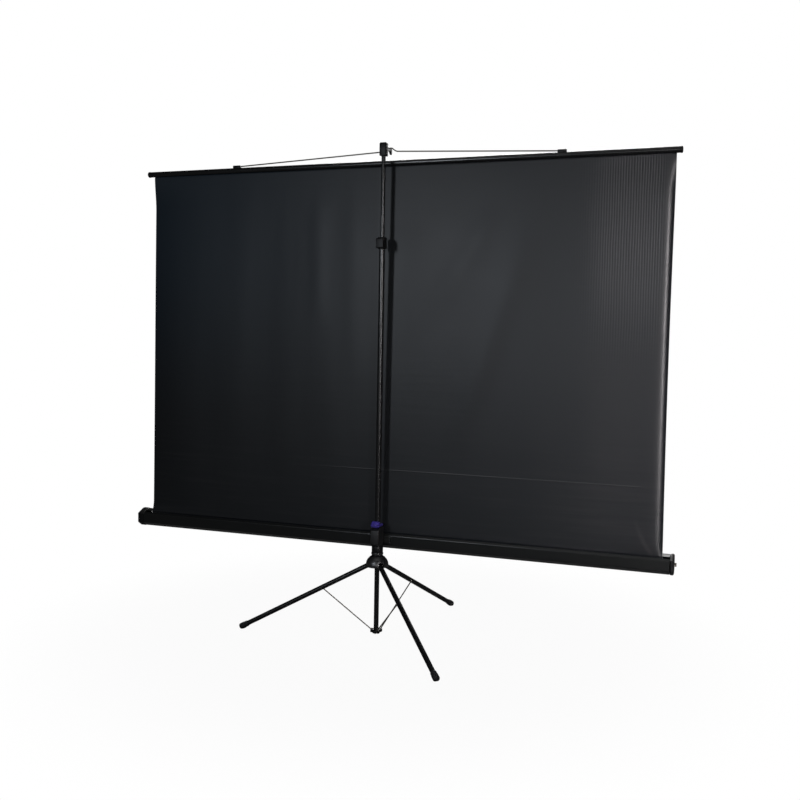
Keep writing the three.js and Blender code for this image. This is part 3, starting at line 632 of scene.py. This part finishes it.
# %% [markdown]
# ## The roll in the case
# The rest of the cloth is wound on the roller. A spiral line, extruded along the case, shows the
# separate turns at its ends, where the solid has a plain sleeve. Its UV goes on from the foot of the
# drop, so the same finish serves.

# %% Wind the roll
ROLL_AXIS = Vector((0.0, -0.0100, 0.3670))
ROLL_INNER = 0.0164
ROLL_OUTER = 0.0217
ROLL_TURNS = 7
ROLL_LENGTH = ROLL_TURNS * math.pi * (ROLL_INNER + ROLL_OUTER)
STEPS_PER_TURN = 40
bm = bmesh.new()
chain = []
for step in range(ROLL_TURNS * STEPS_PER_TURN + 1):
    share = step / (ROLL_TURNS * STEPS_PER_TURN)
    radius = ROLL_INNER + (ROLL_OUTER - ROLL_INNER) * share
    bend = 2.0 * math.pi * step / STEPS_PER_TURN
    across = (radius * math.cos(bend), radius * math.sin(bend))
    chain.append(bm.verts.new((CLOTH_SHIFT - CLOTH_HALF, *across)))
edges = [bm.edges.new(pair) for pair in zip(chain, chain[1:])]
walls = bmesh.ops.extrude_edge_only(bm, edges=edges)
moved = [v for v in walls["geom"] if isinstance(v, bmesh.types.BMVert)]
bmesh.ops.translate(bm, verts=moved, vec=(2.0 * CLOTH_HALF, 0.0, 0.0))
bmesh.ops.recalc_face_normals(bm, faces=bm.faces[:])
bmesh.ops.solidify(bm, geom=bm.faces[:], thickness=CLOTH_THICK)
flat = bm.loops.layers.uv.new("flat_metres")
for face in bm.faces:
    face.smooth = True
    for corner in face.loops:
        radius = math.hypot(corner.vert.co.y, corner.vert.co.z)
        share = (ROLL_OUTER - radius) / (ROLL_OUTER - ROLL_INNER)
        corner[flat].uv = (corner.vert.co.x, CLOTH_FOOT.z - share * ROLL_LENGTH)
bmesh.ops.translate(bm, verts=bm.verts[:], vec=ROLL_AXIS)
mesh = bpy.data.meshes.new("wound_roll")
bm.to_mesh(mesh)
bm.free()
mesh.materials.append(cloth_back)
wound_roll = bpy.data.objects.new("wound_roll", mesh)
bpy.context.scene.collection.objects.link(wound_roll)
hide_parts("wound_cloth")
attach(wound_roll, "roller")
print("wound length", round(ROLL_LENGTH, 3), "m")

# %% [markdown]
# ## Floor
# The photograph is a cut-out on white. To the camera the floor is clear, by Light Path, so the white of
# the world shows through it, and so do the legs, which reach below it when they fold. A faint share of
# it stays paper and takes the shadow, and that share fades out about 1.6 m from the middle. To mirrors
# and lamps it is dark paper, so it doesn't light the legs from below.

# %% Floor
MIRRORED = 0.03
SHADOW_SHARE = 0.04
FADE_FROM = 0.3
FADE_TO = 2.5
FLOOR_HALF = 14.0
PAPER = (0.07, 0.07, 0.07, 1.0)
WHITE = (1.0, 1.0, 1.0, 1.0)
bm = bmesh.new()
bmesh.ops.create_grid(bm, x_segments=1, y_segments=1, size=FLOOR_HALF)
mesh = bpy.data.meshes.new("floor")
bm.to_mesh(mesh)
bm.free()
floor_paper, recipe, shader = finish("floor_paper")
rays = recipe.add("ShaderNodeLightPath")
shown = rays.out("Is Glossy Ray") + rays.out("Is Transmission Ray")
x, y = recipe.axes()[:2]
away = (x * x + y * y).step(FADE_FROM, FADE_TO)
clear = rays.out("Is Camera Ray") * (1.0 - SHADOW_SHARE + SHADOW_SHARE * away)
glow = recipe.add("ShaderNodeEmission", None, {"Color": WHITE, "Strength": 1.0}).out(0)
paper = recipe.add("ShaderNodeBsdfDiffuse", None, {"Color": PAPER}).out(0)
lit = recipe.add("ShaderNodeMixShader", None, {0: shown * MIRRORED, 1: paper, 2: glow}).out(0)
glass = recipe.add("ShaderNodeBsdfTransparent").out(0)
mixed = recipe.add("ShaderNodeMixShader", None, {0: clear, 1: lit, 2: glass}).out(0)
recipe.feed(floor_paper.node_tree.nodes["Material Output"].inputs["Surface"], mixed)
mesh.materials.append(floor_paper)
floor = bpy.data.objects.new("floor", mesh)
bpy.context.scene.collection.objects.link(floor)
print("floor", 2.0 * FLOOR_HALF, "m square")

# %% [markdown]
# ## World
# The world is white to the camera, so that the background is clean. As a light it is only a dim fill,
# and in reflections it is almost black, because a gloss black mast shows every bright thing around it.

# %% World
AMBIENT = 0.14
world = bpy.data.worlds.new("studio")
bpy.context.scene.world = world
world.use_nodes = True
recipe = Recipe(world.node_tree)
rays = recipe.add("ShaderNodeLightPath")
shown = (rays.out("Is Glossy Ray") + rays.out("Is Transmission Ray")) * (MIRRORED - AMBIENT)
level_of_light = AMBIENT + (1.0 - AMBIENT) * rays.out("Is Camera Ray") + shown
background = world.node_tree.nodes["Background"]
recipe.feed(background.inputs["Color"], WHITE)
recipe.feed(background.inputs["Strength"], level_of_light)
print("world fill", AMBIENT)

# %% [markdown]
# ## Lamps
# The key stands to the left of the camera at about head height, which the mast's shadow on the cloth
# shows, and it is a little cool. A narrow warm strip on the right lights the rippled edge of the cloth.
# The lamp behind the camera and the one above are weak, and the last one lights the front, which the
# photograph doesn't show.


# %% Lamps
def softbox(name, place, target, size, watts, tint=(1.0, 1.0, 1.0), spread=180.0):
    lamp = bpy.data.objects.new(name, bpy.data.lights.new(name, "AREA"))
    lamp.data.shape = "RECTANGLE"
    lamp.data.size = size[0]
    lamp.data.size_y = size[1]
    lamp.data.energy = watts
    lamp.data.color = tint
    lamp.data.spread = math.radians(spread)
    lamp.location = place
    lamp.rotation_euler = (Vector(target) - Vector(place)).to_track_quat("-Z", "Y").to_euler()
    bpy.context.scene.collection.objects.link(lamp)
    return lamp


softbox("key", place=(0.95, 3.75, 1.80), target=(0.0, 0.0, 1.1), size=(0.36, 0.60), watts=23.5,
        tint=(0.86, 0.92, 1.0))
softbox("right", place=(-2.8, 3.2, 1.4), target=(-1.1, 0.0, 0.80), size=(0.4, 2.0), watts=8.3,
        tint=(1.0, 0.95, 0.97), spread=38.0)
softbox("behind_camera", place=(-1.2, 4.4, 1.4), target=(-0.8, 0.0, 1.0), size=(1.2, 1.4), watts=10.0)
softbox("top", place=(-0.4, 1.2, 4.2), target=(0.0, 0.0, 0.9), size=(3.0, 2.0), watts=7.0)
softbox("front", place=(0.6, -3.6, 3.1), target=(0.0, 0.0, 1.0), size=(2.5, 2.0), watts=75.0, spread=110.0)
print("lamps", len(bpy.data.lights))

# %% [markdown]
# ## Close
# The finish must not change the size of the model. Here the view transform is set to Standard and the
# scene is updated.

# %% View transform and update
bpy.context.scene.view_settings.view_transform = "Standard"
bpy.context.view_layer.update()
